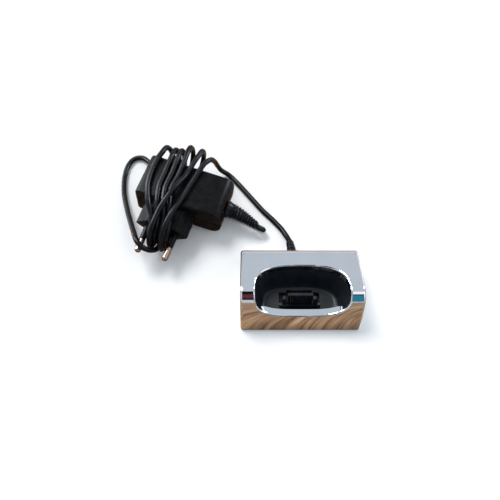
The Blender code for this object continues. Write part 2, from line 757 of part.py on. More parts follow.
def winding_outline():
    """The middle of the inner layer of turns, as (y, z) in the supply's frame, going round once."""
    corners = [
        (15.5, 12.95),
        (0.0, 8.9),
        (-5.2, 6.0),
        (-7.8, 0.0),
        (-5.2, -6.0),
        (0.0, -8.9),
        (15.5, -12.95),
        (30.0, -13.1),
        (45.5, -13.1),
        (55.5, -9.5),
        (59.5, 0.0),
        (55.5, 9.5),
        (45.5, 13.1),
        (30.0, 13.1),
    ]
    route = [Vector(corner) for corner in corners]
    points = []
    for i, b in enumerate(route):
        a, c, d = route[i - 1], route[(i + 1) % len(route)], route[(i + 2) % len(route)]
        points += [curve_point(a, b, c, d, k / 3) for k in range(3)]
    return points


def make_winding(materials, stand):
    """One closed band round the casing and the plug block, narrow where it passes between the pins."""
    middle = winding_outline()
    count = len(middle)
    rings = []
    for i, point in enumerate(middle):
        along = (middle[(i + 1) % count] - middle[i - 1]).normalized()
        outward = Vector((-along.y, along.x))
        if outward.dot(point - Vector((25.0, 0.0))) < 0:
            outward = -outward
        spread = min(1.0, max(0.0, (point.x + 2.0) / 34.0))
        spread = spread * spread * (3 - 2 * spread)
        left = -6.5 - 12.5 * spread
        right = 6.5 + 8.5 * spread
        inner = -LEAD_RADIUS + 0.05
        outer = LEAD_RADIUS + 3.4 * (1 - spread)
        far = min(1.0, max(0.0, (point.x - 44.0) / 12.0))
        outer += 4.2 * far
        bevel = 0.9
        section = [
            (left + bevel, inner),
            (right - bevel, inner),
            (right, inner + bevel),
            (right, outer - bevel),
            (right - bevel, outer),
            (left + bevel, outer),
            (left, outer - bevel),
            (left, inner + bevel),
        ]
        rings.append([(x, point.x + outward.x * out, point.y + outward.y * out) for x, out in section])
    winding = smooth(stack_rings("lead_winding", rings, materials["lead_pvc"], loop=True), 50)
    return mount_on_supply(winding, stand)


RUN_ROUTE = (
    (-4.05, 35.3, 4.75),
    (-5.3, 39.5, 3.0),
    (-8.9, 46.6, 2.0),
    (-14.8, 54.2, 1.9),
    (-21.6, 62.1, 1.9),
    (-30.2, 73.8, 1.9),
    (-38.7, 85.2, 2.0),
    (-45.2, 92.6, 2.4),
    (-49.6, 94.0, 3.8),
    (-52.8, 92.4, 5.8),
    (-55.8, 90.3, 7.7),
)

LOOP_ROUTE = (
    (-93.7, 91.3, 9.4),
    (-97.5, 95.2, 7.4),
    (-104.2, 103.6, 3.9),
    (-110.5, 109.2, 2.5),
    (-116.6, 108.4, 2.0),
    (-120.4, 101.5, 2.0),
    (-121.3, 90.0, 2.2),
    (-119.4, 76.0, 3.2),
    (-114.6, 60.5, 6.2),
    (-108.9, 45.6, 11.4),
    (-103.9, 33.6, 17.2),
    (-101.2, 27.6, 21.4),
    (-96.2, 25.9, 22.2),
)

TAIL_ROUTE = (
    (-25.1, 43.85, 8.95),
    (-22.6, 42.8, 7.6),
    (-21.0, 43.4, 5.3),
    (-22.0, 46.0, 2.9),
    (-25.6, 48.9, 1.95),
    (-32.5, 52.8, 1.9),
    (-42.0, 57.4, 1.9),
    (-51.0, 60.8, 1.9),
    (-58.0, 62.8, 2.5),
    (-64.0, 64.2, 3.9),
)


def make_lead(materials):
    pvc = materials["lead_pvc"]
    lead_tube("lead_run", RUN_ROUTE, pvc)
    lead_tube("lead_loose_loop", LOOP_ROUTE, pvc)
    lead_tube("lead_tail", TAIL_ROUTE, pvc, step=3.0)


def main():
    clear_scene()
    materials = make_materials()
    make_shell(materials)
    make_bowl(materials)
    make_plate(materials)
    make_feet_and_screws(materials)
    make_inside(materials)
    make_connector(materials)
    make_base_boot(materials)
    stand = bpy.data.objects.new("supply_stand", None)
    bpy.context.scene.collection.objects.link(stand)
    stand.location = Vector(SUPPLY_PLACE) * MM
    stand.rotation_euler = SUPPLY_TURN
    make_supply(materials, stand)
    make_winding(materials, stand)
    make_lead(materials)


main()
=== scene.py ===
"""Looks of the desk charging cradle and its wound-up power supply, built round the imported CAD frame.

Sizes are in millimetres in the CAD's frame, and MM turns them into Blender's metres.
"""

import math

import bmesh
import bpy
from mathutils import Euler, Matrix, Vector


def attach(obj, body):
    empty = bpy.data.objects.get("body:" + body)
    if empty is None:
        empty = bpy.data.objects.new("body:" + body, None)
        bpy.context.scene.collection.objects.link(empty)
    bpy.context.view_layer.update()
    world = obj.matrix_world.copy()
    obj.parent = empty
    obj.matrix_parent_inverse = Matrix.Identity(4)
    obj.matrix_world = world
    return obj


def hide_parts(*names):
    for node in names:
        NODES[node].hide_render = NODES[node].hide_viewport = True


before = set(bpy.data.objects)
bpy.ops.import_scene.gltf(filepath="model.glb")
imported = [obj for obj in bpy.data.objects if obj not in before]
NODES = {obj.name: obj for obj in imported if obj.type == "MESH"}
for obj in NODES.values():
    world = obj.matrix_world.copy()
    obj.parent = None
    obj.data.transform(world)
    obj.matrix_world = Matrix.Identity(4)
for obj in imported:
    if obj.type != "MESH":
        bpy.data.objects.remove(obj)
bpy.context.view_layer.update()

MM = 0.001

# The camera, in front of the cradle and looking down on it
CAMERA_PLACE = Vector((-30.0, -119.0, 259.8))
CAMERA_TARGET = Vector((-30.0, 31.0, 0.0))
CAMERA_LENS = 32.4

# Cradle, as in the CAD
HALF_WIDTH = 35.7
FRONT_Y = -25.0
BACK_Y = 25.0
FOOT_Z = 0.7
SHELL_WALL = 1.6
FRONT_TOP = (-17.6, 24.6)
FRONT_TOP_ANGLE = math.radians(150.0)
FOLD_RADIUS = 7.86
TOP_SLOPE = math.radians(11.6)
TOP_END_Y = 15.6
BACK_RADIUS = 4.2
END_RADIUS = 1.5
LEAN = math.radians(12.0)
AXIS = Vector((0.0, math.sin(LEAN), math.cos(LEAN)))
ACROSS = Vector((0.0, math.cos(LEAN), -math.sin(LEAN)))

# The well's opening. Its widest place and its back end are given across the lean, its front end by height
WELL_HALF_X = 27.1
WELL_WIDEST_C = -17.6
WELL_BACK_C = 0.8
WELL_FRONT_Z = 15.3
WELL_POWER_BACK = 2.9
WELL_POWER_FRONT = 3.4

# The lip round the opening, and the bowl's floor
LIP_DEPTH = 3.4
LIP_WALL = 1.1
LIP_EDGE = 0.95
BOWL_FLOOR_Z = 7.0

# Points in every ring round the well
AROUND = 240

# Power supply, in its own frame: +X along the casing towards the boot, -Y along the pins.
# The casing's left and right roundings are (radius, least radius where an end is inset).
SUPPLY_PLACE = Vector((-86.6, 35.5, 17.0))
SUPPLY_TURN = Euler((math.radians(4.0), math.radians(8.0), math.radians(-16.0)), "XYZ")
SUPPLY = Matrix.Translation(SUPPLY_PLACE) @ SUPPLY_TURN.to_matrix().to_4x4()
CASE_X = (-23.5, 34.5)
CASE_Y = (15.5, 46.0)
CASE_HALF_HEIGHT = 11.0
CASE_SEAM = 0.1
CASE_SEAM_ROUNDING = 0.3
CASE_LEFT_ROUNDING = (2.6, 0.7)
CASE_RIGHT_ROUNDING = (7.0, 2.0)
CASE_EDGE = 1.5
PLUG_FLAT = 10.0
PLUG_HALF_WIDTH = 17.65
PLUG_HALF_HEIGHT = 6.85
PLUG_EDGE = 0.7
PLUG_CORNER = 1.1
PLUG_FACE_CORNER = 0.6
PIN_RADIUS = 2.0
PIN_CORE_RADIUS = 1.2
PIN_LENGTH = 19.0
SLEEVE_LENGTH = 10.0
PIN_ROOT_X = 9.3
PIN_TIP_X = 8.75
PIN_TIP_RADIUS = 1.7

LEAD_RADIUS = 1.75
LEAD_STEP = 1.6


# ---------------------------------------------------------------- camera


def make_camera():
    data = bpy.data.cameras.new("camera")
    camera = bpy.data.objects.new("camera", data)
    bpy.context.scene.collection.objects.link(camera)
    data.sensor_width = 36.0
    data.lens = CAMERA_LENS
    data.clip_start = 0.01
    data.clip_end = 20.0
    camera.location = CAMERA_PLACE * MM
    camera.rotation_euler = (CAMERA_TARGET - CAMERA_PLACE).to_track_quat("-Z", "Y").to_euler()
    bpy.context.scene.camera = camera


# ---------------------------------------------------------------- materials


# The range that most of a noise pattern lies in
PATTERN_LOW = 0.3
PATTERN_HIGH = 0.7


def new_material(name, colour, roughness, metallic=0.0, specular=0.5):
    material = bpy.data.materials.new(name)
    material.use_nodes = True
    shader = material.node_tree.nodes["Principled BSDF"]
    shader.inputs["Base Color"].default_value = (*colour, 1.0)
    shader.inputs["Roughness"].default_value = roughness
    shader.inputs["Metallic"].default_value = metallic
    shader.inputs["Specular IOR Level"].default_value = specular
    return material


def noise(material, scale, detail=3.0, stretch=(1, 1, 1)):
    """A noise pattern fixed to the object, with about `scale` features a metre."""
    nodes, links = material.node_tree.nodes, material.node_tree.links
    place = nodes.new("ShaderNodeTexCoord")
    mapping = nodes.new("ShaderNodeMapping")
    mapping.inputs["Scale"].default_value = stretch
    pattern = nodes.new("ShaderNodeTexNoise")
    pattern.inputs["Scale"].default_value = scale
    pattern.inputs["Detail"].default_value = detail
    links.new(place.outputs["Object"], mapping.inputs["Vector"])
    links.new(mapping.outputs["Vector"], pattern.inputs["Vector"])
    return pattern.outputs["Fac"]


def ramp(material, source, stops):
    """Colours along a source value, from (position, colour) stops."""
    node = material.node_tree.nodes.new("ShaderNodeValToRGB")
    while len(node.color_ramp.elements) < len(stops):
        node.color_ramp.elements.new(0.5)
    for element, (position, colour) in zip(node.color_ramp.elements, stops):
        element.position = position
        element.color = (*colour, 1.0)
    material.node_tree.links.new(source, node.inputs["Fac"])
    return node.outputs["Color"]


def spread(material, source, low, high):
    """Maps a pattern's usual range onto low to high."""
    node = material.node_tree.nodes.new("ShaderNodeMapRange")
    node.inputs["From Min"].default_value = PATTERN_LOW
    node.inputs["From Max"].default_value = PATTERN_HIGH
    node.inputs["To Min"].default_value = low
    node.inputs["To Max"].default_value = high
    material.node_tree.links.new(source, node.inputs["Value"])
    return node.outputs["Result"]


def colour_by(material, pattern, *stops):
    """Gives the base colour the (position, colour) stops along a pattern."""
    link(material, ramp(material, pattern, stops), "Base Color")


def shader_input(material, name):
    return material.node_tree.nodes["Principled BSDF"].inputs[name]


def link(material, source, name):
    material.node_tree.links.new(source, shader_input(material, name))


def bump(material, height, strength, distance):
    """Bumps of at most `distance` millimetres."""
    node = material.node_tree.nodes.new("ShaderNodeBump")
    node.inputs["Strength"].default_value = strength
    node.inputs["Distance"].default_value = distance * MM
    material.node_tree.links.new(height, node.inputs["Height"])
    link(material, node.outputs["Normal"], "Normal")


def chrome_material():
    material = new_material("chrome_look", (0.9, 0.915, 0.94), 0.035, 1.0)
    smudge = noise(material, 60.0, 4.0)
    link(material, spread(material, smudge, 0.02, 0.075), "Roughness")
    colour_by(material, smudge, (0.3, (0.9, 0.92, 0.95)), (0.7, (0.84, 0.86, 0.89)))
    return material


def bowl_material():
    material = new_material("bowl_look", (0.008, 0.01, 0.013), 0.34, 0.0, 0.35)
    cloud = noise(material, 140.0, 5.0)
    colour_by(material, cloud, (0.3, (0.004, 0.006, 0.009)), (0.75, (0.012, 0.016, 0.023)))
    link(material, spread(material, cloud, 0.32, 0.46), "Roughness")
    bump(material, noise(material, 2600.0, 2.0), 0.25, 0.03)
    return material


def matt_black_material(name, shade, roughness, grain_scale, specular=0.5):
    """A moulded black plastic with a fine spark-eroded grain."""
    material = new_material(name, (shade, shade, shade * 1.1), roughness, 0.0, specular)
    cloud = noise(material, 180.0, 4.0)
    light = (shade * 1.5, shade * 1.55, shade * 1.7)
    dark = (shade * 0.7, shade * 0.7, shade * 0.75)
    colour_by(material, cloud, (0.3, dark), (0.7, light))
    link(material, spread(material, cloud, roughness - 0.06, roughness + 0.08), "Roughness")
    bump(material, noise(material, grain_scale, 2.0), 0.2, 0.03)
    return material


def lead_material():
    """Soft black PVC, a little blue, with the faint ripple of an extruded sheath."""
    material = new_material("lead_look", (0.004, 0.005, 0.007), 0.3, 0.0, 0.2)
    cloud = noise(material, 90.0, 4.0)
    colour_by(material, cloud, (0.3, (0.003, 0.0035, 0.005)), (0.7, (0.006, 0.007, 0.01)))
    link(material, spread(material, cloud, 0.22, 0.36), "Roughness")
    bump(material, noise(material, 1100.0, 3.0), 0.2, 0.05)
    return material


def metal_material(name, colour, roughness, dull):
    """Plated or turned metal, duller and darker in patches."""
    material = new_material(name, colour, roughness, 1.0)
    wear = noise(material, 420.0, 5.0)
    worn = tuple(dull * c for c in colour)
    colour_by(material, wear, (0.35, colour), (0.7, worn))
    link(material, spread(material, wear, roughness - 0.08, roughness + 0.14), "Roughness")
    bump(material, noise(material, 2400.0, 2.0), 0.15, 0.02)
    return material


def rubber_material():
    material = new_material("rubber_look", (0.02, 0.02, 0.02), 0.8)
    dust = noise(material, 900.0, 4.0)
    colour_by(material, dust, (0.4, (0.015, 0.015, 0.016)), (0.75, (0.07, 0.068, 0.064)))
    bump(material, dust, 0.4, 0.06)
    return material


def board_material():
    material = new_material("board_look", (0.02, 0.14, 0.06), 0.4)
    weave = noise(material, 1500.0, 1.0, (1, 4, 1))
    colour_by(material, weave, (0.35, (0.012, 0.1, 0.04)), (0.7, (0.03, 0.19, 0.08)))
    bump(material, weave, 0.2, 0.03)
    return material


def white_material():
    material = new_material("white_look", (0.75, 0.73, 0.68), 0.45)
    cloud = noise(material, 300.0, 3.0)
    colour_by(material, cloud, (0.3, (0.68, 0.66, 0.6)), (0.7, (0.8, 0.78, 0.73)))
    return material


def ferrite_material():
    material = new_material("ferrite_look", (0.08, 0.07, 0.07), 0.6)
    speck = noise(material, 2000.0, 4.0)
    colour_by(material, speck, (0.35, (0.05, 0.045, 0.045)), (0.75, (0.14, 0.13, 0.13)))
    bump(material, speck, 0.4, 0.05)
    return material


LOOKS = {
    "chrome_plate": chrome_material(),
    "bowl_plastic": bowl_material(),
    "plate_plastic": matt_black_material("plate_look", 0.014, 0.5, 1800.0),
    "foot_rubber": rubber_material(),
    "steel": metal_material("steel_look", (0.55, 0.55, 0.56), 0.34, 0.7),
    "gold_contact": metal_material("gold_look", (0.9, 0.6, 0.22), 0.22, 0.8),
    "board": board_material(),
    "white_plastic": white_material(),
    "supply_plastic": matt_black_material("supply_look", 0.0036, 0.28, 2200.0, 0.13),
    "lead_pvc": lead_material(),
    "pin_nickel": metal_material("pin_look", (0.46, 0.34, 0.27), 0.27, 0.5),
    "ferrite": ferrite_material(),
}


def dress_cad_nodes():
    """Every CAD node gets the look of its own slot."""
    for node in NODES.values():
        for held in node.material_slots:
            name = held.material.name.split(".")[0]
            if name in LOOKS:
                held.material = LOOKS[name]


# ---------------------------------------------------------------- mesh helpers


def add_mesh(name, points, faces, look, sharp=40.0):
    """A smooth piece of the root body from points in millimetres, which takes its finish from a slot."""
    mesh = bpy.data.meshes.new(name)
    mesh.from_pydata([Vector(p) * MM for p in points], [], faces)
    shape = bmesh.new()
    shape.from_mesh(mesh)
    bmesh.ops.remove_doubles(shape, verts=shape.verts, dist=1e-7)
    bmesh.ops.recalc_face_normals(shape, faces=shape.faces)
    shape.to_mesh(mesh)
    shape.free()
    mesh.shade_smooth()
    mesh.set_sharp_from_angle(angle=math.radians(sharp))
    item = bpy.data.objects.new(name, mesh)
    bpy.context.scene.collection.objects.link(item)
    mesh.materials.append(LOOKS[look])
    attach(item, "root")
    return item


def stack_rings(name, rings, look, loop=False, **how):
    """A body through rings of equally many points. Ends are capped, or the last ring meets the first."""
    count = len(rings[0])
    points = [p for ring in rings for p in ring]
    faces = []
    for i in range(len(rings) if loop else len(rings) - 1):
        j = (i + 1) % len(rings)
        for k in range(count):
            n = (k + 1) % count
            faces.append((i * count + k, i * count + n, j * count + n, j * count + k))
    if not loop:
        faces.append(tuple(range(count)))
        faces.append(tuple(range((len(rings) - 1) * count, len(rings) * count)))
    return add_mesh(name, points, faces, look, **how)


def smooth_route(route, step):
    """Points about a step apart on one smooth curve through the route's points."""
    ends = [2 * route[0] - route[1]] + route + [2 * route[-1] - route[-2]]
    points = []
    for a, b, c, d in zip(ends, ends[1:], ends[2:], ends[3:]):
        count = max(1, round((c - b).length / step))
        for k in range(count):
            t = k / count
            cubic = 3 * b - a - 3 * c + d
            points.append(0.5 * (2 * b + (c - a) * t + (2 * a - 5 * b + 4 * c - d) * t**2 + cubic * t**3))
    return points + [route[-1]]


def smoothstep(low, high, value):
    t = min(1.0, max(0.0, (value - low) / (high - low)))
    return t * t * (3 - 2 * t)


# ---------------------------------------------------------------- the lead


def in_supply(points):
    return [SUPPLY @ Vector(p) for p in points]


RUN_ROUTE = (
    (-4.05, 35.3, 4.75),
    (-5.3, 39.5, 3.0),
    (-8.9, 46.6, 2.0),
    (-14.8, 54.2, 1.9),
    (-21.6, 62.1, 1.9),
    (-30.2, 73.8, 1.9),
    (-38.7, 85.2, 2.0),
    (-45.2, 92.6, 2.4),
)

LOOP_ROUTE = (
    (-97.5, 95.2, 7.4),
    (-104.2, 103.6, 3.9),
    (-110.5, 109.2, 2.5),
    (-116.6, 108.4, 2.0),
    (-120.4, 101.5, 2.0),
    (-121.3, 90.0, 2.2),
    (-119.4, 76.0, 3.2),
    (-114.6, 60.5, 6.2),
    (-108.9, 45.6, 11.4),
    (-103.9, 33.6, 17.2),
)

TAIL_ROUTE = (
    (-25.1, 43.85, 8.95),
    (-22.6, 42.8, 7.6),
    (-21.0, 43.4, 5.3),
    (-22.0, 46.0, 2.9),
    (-25.6, 48.9, 1.95),
    (-32.5, 52.8, 1.9),
    (-42.0, 57.4, 1.9),
    (-51.0, 60.8, 1.9),
    (-58.0, 62.8, 2.5),
)

# The turns, in the supply's frame. A turn is a top, then a near bend between the pins, then a bottom,
# and far bends join them. TOPS run from the far end to the near end, and BOTTOMS the other way.
TOPS = {
    "right": (
        (12.6, 52.0, 12.6),
        (11.2, 47.5, 13.4),
        (8.9, 34.0, 13.2),
        (6.9, 20.0, 13.4),
        (5.4, 11.0, 14.4),
        (4.3, 5.0, 13.9),
    ),
    "crossing": (
        (5.9, 54.5, 12.6),
        (4.9, 47.5, 13.5),
        (3.9, 38.0, 13.6),
        (1.8, 29.0, 15.3),
        (-0.4, 20.0, 16.6),
        (-2.2, 11.5, 15.9),
        (-3.3, 5.0, 13.9),
    ),
    "left": (
        (-17.0, 49.0, 12.8),
        (-18.0, 42.0, 13.2),
        (-18.2, 34.0, 13.1),
        (-16.7, 22.0, 13.1),
        (-12.2, 11.0, 12.2),
        (-7.3, 3.5, 10.0),
    ),
    "second": (
        (-10.3, 49.0, 12.8),
        (-10.1, 42.0, 13.2),
        (-10.0, 33.0, 13.1),
        (-9.7, 23.0, 13.1),
        (-6.6, 11.5, 12.3),
        (-3.2, 4.0, 10.0),
    ),
    "third": (
        (-6.2, 49.5, 12.9),
        (-5.9, 42.0, 13.2),
        (-5.6, 34.0, 13.1),
        (-5.6, 23.0, 13.1),
        (-2.6, 11.5, 12.3),
        (0.7, 4.0, 10.0),
    ),
    "fourth": (
        (-1.8, 54.5, 12.6),
        (-1.2, 45.0, 13.3),
        (-1.2, 34.0, 13.1),
        (-1.9, 23.5, 13.1),
        (1.2, 12.5, 12.5),
        (4.2, 4.5, 10.1),
    ),
}
BOTTOMS = {
    "right": (
        (3.6, 6.0, -14.2),
        (3.1, 14.0, -14.5),
        (2.9, 24.0, -13.1),
        (3.2, 36.0, -13.1),
        (5.6, 48.0, -13.2),
    ),
    "crossing": (
        (-4.3, 6.0, -14.6),
        (-8.0, 15.0, -16.7),
        (-12.6, 27.0, -16.9),
        (-16.6, 38.5, -16.6),
        (-20.2, 47.0, -15.9),
    ),
    "loop": (
        (-0.7, 6.0, -14.6),
        (-3.6, 15.0, -16.7),
        (-8.2, 27.0, -16.9),
        (-11.8, 39.0, -16.4),
        (-12.4, 47.5, -14.6),
    ),
    "left": (
        (-6.1, 5.5, -10.8),
        (-7.6, 14.0, -13.0),
        (-8.8, 25.0, -13.1),
        (-9.4, 37.0, -13.1),
        (-8.3, 47.0, -13.2),
    ),
    "second": (
        (-2.3, 5.5, -10.8),
        (-3.6, 14.0, -13.0),
        (-4.9, 25.0, -13.1),
        (-5.2, 37.0, -13.1),
        (-4.2, 47.5, -13.2),
    ),
    "third": (
        (1.5, 5.5, -10.8),
        (0.0, 14.0, -13.0),
        (-0.9, 25.0, -13.1),
        (-0.8, 37.0, -13.1),
        (-0.2, 48.0, -13.2),
    ),
}


# Short stretches between the world routes and the turns, in the supply's frame
RISE_TO_TURNS = (
    (19.6, 65.6, -12.9),
    (17.4, 64.2, -7.6),
    (16.0, 62.2, -1.2),
    (15.0, 59.4, 5.0),
    (13.9, 56.0, 10.0),
)
OVER_LEFT_PIN = (
    (-12.3, -11.6, 3.2),
    (-9.2, -14.7, 4.3),
    (-5.8, -16.2, 3.6),
    (-2.5, -15.6, 1.0),
)
UNDER_PLUG = (
    (-0.5, -13.2, -3.0),
    (0.1, -9.9, -7.6),
    (0.1, -4.9, -11.3),
)
OUT_OF_TURNS = (
    (5.8, 5.5, -10.8),
    (6.6, 13.0, -13.0),
    (7.2, 19.5, -13.2),
    (9.0, 26.3, -13.3),
    (13.4, 31.6, -13.3),
)


# A near bend of the inner layer, and how much further out the outer layer's bends go
NEAR_BEND_Y = 0.4
NEAR_BEND_REACH = 8.2
NEAR_BEND_HEIGHT = 8.9
OUTER_REACH = 3.35
OUTER_HEIGHT = 3.3
NEAR_BEND_DEGREES = (72, 48, 24, 0, -24, -48, -72)
FAR_BEND_DEGREES = (-60, -36, -12, 12, 36, 60)


def near_bend(x, layer):
    """Half a turn from the top to the bottom between the pins, in the inner (0) or outer (1) layer."""
    reach = NEAR_BEND_REACH + OUTER_REACH * layer
    height = NEAR_BEND_HEIGHT + OUTER_HEIGHT * layer
    angles = [math.radians(degrees) for degrees in NEAR_BEND_DEGREES]
    return [(x, NEAR_BEND_Y - reach * math.cos(a), height * math.sin(a)) for a in angles]


def far_bend(start, end, apex_y, swing):
    """Half a turn from a bottom's end to a top's start, round the casing's far side."""
    points = []
    for degrees in FAR_BEND_DEGREES:
        a = math.radians(degrees)
        place = 0.5 + 0.5 * math.sin(a)
        x = start[0] + (end[0] - start[0]) * place + swing * math.cos(a)
        y = start[1] + (end[1] - start[1]) * place
        z = start[2] + (end[2] - start[2]) * place
        points.append((x, y + (apex_y - y) * math.cos(a), z))
    return points


def lead_points():
    route = [Vector(p) for p in RUN_ROUTE]
    route += in_supply(RISE_TO_TURNS)
    route += in_supply(TOPS["right"] + tuple(near_bend(3.6, 1)) + BOTTOMS["right"])
    route += in_supply(far_bend(BOTTOMS["right"][-1], TOPS["crossing"][0], 64.5, 0.6))
    route += in_supply(TOPS["crossing"] + tuple(near_bend(-3.7, 1)) + BOTTOMS["crossing"])
    route += [Vector(p) for p in LOOP_ROUTE]
    route += in_supply(OVER_LEFT_PIN)
    route += in_supply(UNDER_PLUG + BOTTOMS["loop"])
    route += in_supply(far_bend(BOTTOMS["loop"][-1], TOPS["left"][0], 58.5, 0.0))
    route += in_supply(TOPS["left"] + tuple(near_bend(-5.3, 0)) + BOTTOMS["left"])
    route += in_supply(far_bend(BOTTOMS["left"][-1], TOPS["second"][0], 58.8, -0.6))
    route += in_supply(TOPS["second"] + tuple(near_bend(-1.8, 0)) + BOTTOMS["second"])
    route += in_supply(far_bend(BOTTOMS["second"][-1], TOPS["third"][0], 59.6, -1.0))
    route += in_supply(TOPS["third"] + tuple(near_bend(1.8, 0)) + BOTTOMS["third"])
    route += in_supply(far_bend(BOTTOMS["third"][-1], TOPS["fourth"][0], 64.5, -0.6))
    route += in_supply(TOPS["fourth"] + tuple(near_bend(5.3, 0)))
    route += in_supply(OUT_OF_TURNS)
    route += [Vector(p) for p in reversed(TAIL_ROUTE)]
    return smooth_route(route, LEAD_STEP)


def make_lead():
    points = lead_points()
    curve = bpy.data.curves.new("supply_lead", "CURVE")
    curve.dimensions = "3D"
    curve.bevel_depth = LEAD_RADIUS * MM
    curve.bevel_resolution = 4
    curve.use_fill_caps = True
    spline = curve.splines.new("POLY")
    spline.points.add(len(points) - 1)
    spline.use_smooth = True
    for target, point in zip(spline.points, points):
        target.co = (*(point * MM), 1.0)
    lead = bpy.data.objects.new("supply_lead", curve)
    bpy.context.scene.collection.objects.link(lead)
    curve.materials.append(LOOKS["lead_pvc"])
    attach(lead, "root")
    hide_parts("lead_run", "lead_winding", "lead_loose_loop", "lead_tail")
    return lead, points


# ---------------------------------------------------------------- the chromed shell


class Profile:
    """The shell's side outline from the front foot over the top to the back foot, by length along it."""

    def __init__(self):
        run, rise = FRONT_TOP[0] - FRONT_Y, FRONT_TOP[1] - FOOT_Z
        chord_angle = 0.5 * math.pi + math.atan2(rise, run)
        foot_angle = 2 * chord_angle - FRONT_TOP_ANGLE
        radius = math.hypot(run, rise) / (2 * math.sin(chord_angle - FRONT_TOP_ANGLE))
        out = (math.cos(FRONT_TOP_ANGLE), math.sin(FRONT_TOP_ANGLE))
        front = (FRONT_TOP[0] - radius * out[0], FRONT_TOP[1] - radius * out[1])
        fold = (FRONT_TOP[0] - FOLD_RADIUS * out[0], FRONT_TOP[1] - FOLD_RADIUS * out[1])
        top = 0.5 * math.pi - TOP_SLOPE
        top_y = fold[0] + FOLD_RADIUS * math.cos(top)
        top_z = fold[1] + FOLD_RADIUS * math.sin(top) - (TOP_END_Y - top_y) * math.tan(TOP_SLOPE)
        back = (TOP_END_Y - BACK_RADIUS * math.cos(top), top_z - BACK_RADIUS * math.sin(top))
        down = (BACK_Y - back[0], FOOT_Z - back[1])
        wall = math.atan2(down[1], down[0]) + math.acos(BACK_RADIUS / math.hypot(*down))
        self.parts = [
            self.curve(front, radius, foot_angle, FRONT_TOP_ANGLE),
            self.curve(fold, FOLD_RADIUS, FRONT_TOP_ANGLE, top),
            self.line(fold, FOLD_RADIUS, back, BACK_RADIUS, top),
            self.curve(back, BACK_RADIUS, top, wall),
            self.line(back, BACK_RADIUS, (BACK_Y, FOOT_Z), 0.0, wall),
        ]
        self.length = sum(part[0] for part in self.parts)
        self.back_start = sum(part[0] for part in self.parts[:3])
        self.back_end = sum(part[0] for part in self.parts[:4])

    @staticmethod
    def curve(centre, radius, start, end):
        return (radius * abs(end - start), centre, radius, start, end, None)

    @staticmethod
    def line(start, start_radius, end, end_radius, angle):
        out = (math.cos(angle), math.sin(angle))
        a = (start[0] + start_radius * out[0], start[1] + start_radius * out[1])
        b = (end[0] + end_radius * out[0], end[1] + end_radius * out[1])
        return (math.dist(a, b), a, 0.0, angle, angle, b)

    def at(self, along):
        """((y, z), (normal y, normal z)) at a length along the outline."""
        along = min(max(along, 0.0), self.length)
        for size, place, radius, start, end, far in self.parts:
            if along <= size or far == (BACK_Y, FOOT_Z):
                break
            along -= size
        t = min(along / size, 1.0)
        angle = start + (end - start) * t
        out = (math.cos(angle), math.sin(angle))
        if far is None:
            return (place[0] + radius * out[0], place[1] + radius * out[1]), out
        return (place[0] + (far[0] - place[0]) * t, place[1] + (far[1] - place[1]) * t), out

    def find(self, test, low, high):
        """The length at which a rising test reaches zero."""
        for _ in range(40):
            middle = 0.5 * (low + high)
            if test(self.at(middle)[0]) < 0:
                low = middle
            else:
                high = middle
        return 0.5 * (low + high)


PROFILE = Profile()


def across_axis(place):
    return place[0] * math.cos(LEAN) - place[1] * math.sin(LEAN)


# Lengths along the outline: on the front face just under the fold, and on the top near its back end
UNDER_FOLD_S = 22.0
NEAR_BACK_S = PROFILE.length - 26.0

WIDEST_S = PROFILE.find(lambda p: across_axis(p) - WELL_WIDEST_C, UNDER_FOLD_S, NEAR_BACK_S)
BACK_S = PROFILE.find(lambda p: across_axis(p) - WELL_BACK_C, UNDER_FOLD_S, NEAR_BACK_S)
FRONT_S = PROFILE.find(lambda p: p[1] - WELL_FRONT_Z, 0.0, UNDER_FOLD_S)


def opening(k, grow=0.0):
    """(x, length along the outline) of the well's rounded opening."""
    turn = 2 * math.pi * k / AROUND
    cosine, sine = math.cos(turn), math.sin(turn)
    power = WELL_POWER_BACK if sine > 0 else WELL_POWER_FRONT
    reach = BACK_S - WIDEST_S if sine > 0 else WIDEST_S - FRONT_S
    x = math.copysign(abs(cosine) ** (2 / power), cosine) * (WELL_HALF_X + grow)
    s = math.copysign(abs(sine) ** (2 / power), sine) * (reach + grow)
    return x, WIDEST_S + s


# Where the back edge's arc lies on the way from the widest place to the back foot, and in a face's rings
BACK_ARC_BORDER = (0.55, 0.85)
BACK_ARC_RINGS = (0.5, 0.9)


def border(k, half_x):
    """The same direction's point on the edge of the unrolled shell."""
    turn = 2 * math.pi * k / AROUND
    cosine, sine = math.cos(turn), math.sin(turn)
    size = max(abs(cosine), abs(sine))
    share = sine / size
    if share < 0:
        return half_x * cosine / size, WIDEST_S * (1 + share)
    arc_start, arc_end = BACK_ARC_BORDER
    marks = [(0.0, WIDEST_S), (arc_start, PROFILE.back_start)]
    marks += [(arc_end, PROFILE.back_end), (1.0, PROFILE.length)]
    return half_x * cosine / size, between(marks, share)


def between(marks, share):
    """Straight lines through (share, value) marks."""
    for (a, low), (b, high) in zip(marks, marks[1:]):
        if share <= b:
            return low + (high - low) * (share - a) / (b - a)
    return marks[-1][1]


def across_face(s0, s1, t):
    """How far a ring is from the opening at s0 to the edge at s1. Rings gather on the back edge's arc."""
    if s1 <= PROFILE.back_start:
        return t
    turn = min(s1, PROFILE.back_end)
    marks = [(0.0, s0), (BACK_ARC_RINGS[0], PROFILE.back_start), (BACK_ARC_RINGS[1], turn)]
    marks += [(1.0, s1)] if s1 > turn else []
    return min(1.0, (between(marks, t) - s0) / (s1 - s0))


def on_shell(x, s, inset=0.0):
    place, out = PROFILE.at(s)
    return Vector((x, place[0] - inset * out[0], place[1] - inset * out[1]))


def shell_normal(s):
    out = PROFILE.at(s)[1]
    return Vector((0.0, out[0], out[1]))


